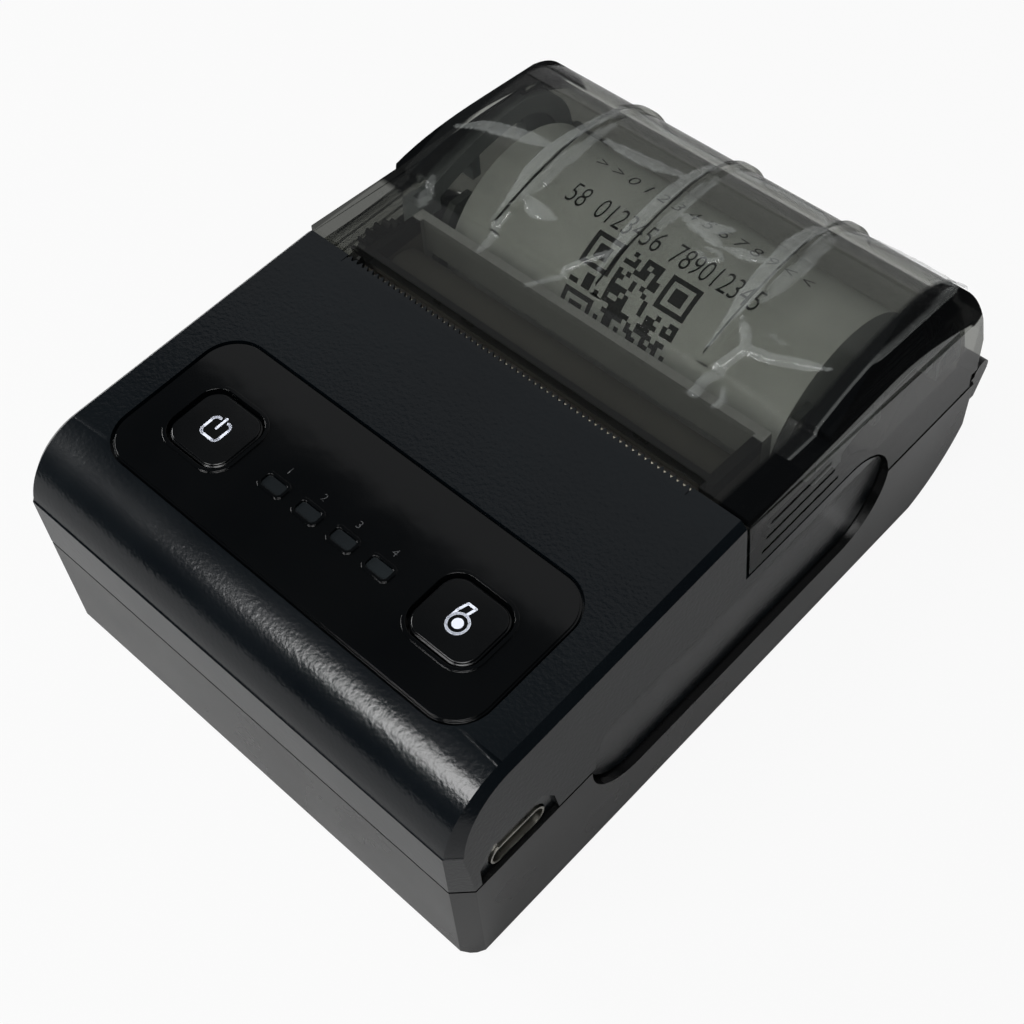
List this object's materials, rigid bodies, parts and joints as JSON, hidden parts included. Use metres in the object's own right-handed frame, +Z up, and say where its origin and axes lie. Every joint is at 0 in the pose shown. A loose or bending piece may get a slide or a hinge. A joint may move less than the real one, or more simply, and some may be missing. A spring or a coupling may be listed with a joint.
{
  "type": "portable thermal printer",
  "caption": "Pocket thermal printer with a hinged smoked lid over a paper roll, a gear-driven platen, a button panel and a sliding battery door.",
  "frame": {"origin": "middle of the outline in plan, at the height of the table it stands on", "axes": "+Y from the front with the buttons to the hinge, +X to the side of the charging socket, +Z up"},
  "size_m": [0.078, 0.105, 0.042],
  "materials": {
    "black_shell": "spark-eroded black ABS",
    "black_gloss": "polished black acrylic",
    "black_cap": "fine matte black ABS",
    "lens": "smoked light guide",
    "smoked_lid": "polished smoked polycarbonate",
    "clear_film": "clear protective film",
    "steel": "zinc-plated steel",
    "steel_pin": "ground steel",
    "spring_steel": "spring steel",
    "black_screw": "black-oxide screws",
    "platen_rubber": "ground silicone rubber",
    "acetal": "natural acetal",
    "brass": "hobbed brass",
    "ceramic": "glazed alumina",
    "aluminium": "milled aluminium",
    "paper": "thermal paper",
    "core": "wound core tube",
    "board": "green solder mask",
    "chips": "moulded packages",
    "white_part": "white moulded plastic",
    "polyimide": "flat flexible cable",
    "battery": "shrink-wrapped cells",
    "gold": "gold-plated contacts"
  },
  "bodies": {
    "case": {"lower_shell": "black_shell", "upper_shell": "black_shell", "control_panel": "black_gloss", "light_windows": "lens", "tear_bar": "black_shell", "hinge_pins": "steel_pin", "mechanism_frame": "steel", "thermal_head": "ceramic", "head_heatsink": "aluminium", "head_spring": "spring_steel", "motor_body": "steel", "gear_post": "steel_pin", "paper_bay": "black_shell", "paper_web": "paper", "paper_sensor": "chips", "main_board": "board", "board_chips": "chips", "usb_shell": "steel_pin", "usb_tongue": "chips", "key_board": "board", "tact_switches": "chips", "status_leds": "white_part", "battery_pack": "battery", "battery_contacts": "gold", "head_cable": "polyimide", "key_cable": "polyimide", "case_screws": "black_screw", "frame_screws": "black_screw", "board_screws": "black_screw"},
    "lid": {"lid_shell": "smoked_lid", "protective_film": "clear_film", "lid_liner": "black_cap", "platen_carrier": "black_shell", "platen_bushes": "acetal"},
    "platen": {"platen_rubber": "platen_rubber", "platen_shaft": "steel_pin", "platen_gear": "acetal"},
    "reduction": {"reduction_gear": "acetal"},
    "motor_rotor": {"motor_pinion": "brass"},
    "roll": {"paper_roll": "paper", "roll_core": "core"},
    "power_key": {"power_button": "black_cap", "power_plunger": "white_part"},
    "feed_key": {"feed_button": "black_cap", "feed_plunger": "white_part"},
    "door": {"battery_door": "black_shell"}
  },
  "joints": [
    {"name": "lid_hinge", "type": "hinge", "parent": "case", "child": "lid", "pos_m": [0, 0.0509, 0.0192], "axis": [-1, 0, 0], "range_deg": [0, 95]},
    {"name": "roll_turn", "type": "hinge", "parent": "case", "child": "roll", "pos_m": [0, 0.0305, 0.02], "axis": [-1, 0, 0], "continuous": true},
    {"name": "platen_turn", "type": "hinge", "parent": "lid", "child": "platen", "pos_m": [0, 0.0059, 0.0278], "axis": [-1, 0, 0], "continuous": true},
    {"name": "reduction_turn", "type": "hinge", "parent": "case", "child": "reduction", "pos_m": [-0.0335, 0.00405, 0.0181], "axis": [-1, 0, 0], "continuous": true},
    {"name": "motor_turn", "type": "hinge", "parent": "case", "child": "motor_rotor", "pos_m": [-0.0335, -0.00353, 0.01066], "axis": [-1, 0, 0], "continuous": true},
    {"name": "power_press", "type": "slide", "parent": "case", "child": "power_key", "axis": [0, 0.0321, -0.9995], "range_m": [0, 0.0006], "stiffness_N_per_m": 3000},
    {"name": "feed_press", "type": "slide", "parent": "case", "child": "feed_key", "axis": [0, 0.0321, -0.9995], "range_m": [0, 0.0006], "stiffness_N_per_m": 3000},
    {"name": "door_slide", "type": "slide", "parent": "case", "child": "door", "axis": [0, 1, 0], "range_m": [0, 0.008]}
  ],
  "couplings": [
    {"joint": "platen_turn", "follows": "roll_turn", "ratio": 3.4783},
    {"joint": "reduction_turn", "follows": "roll_turn", "ratio": -5.5652},
    {"joint": "motor_turn", "follows": "roll_turn", "ratio": 13.913}
  ]
}
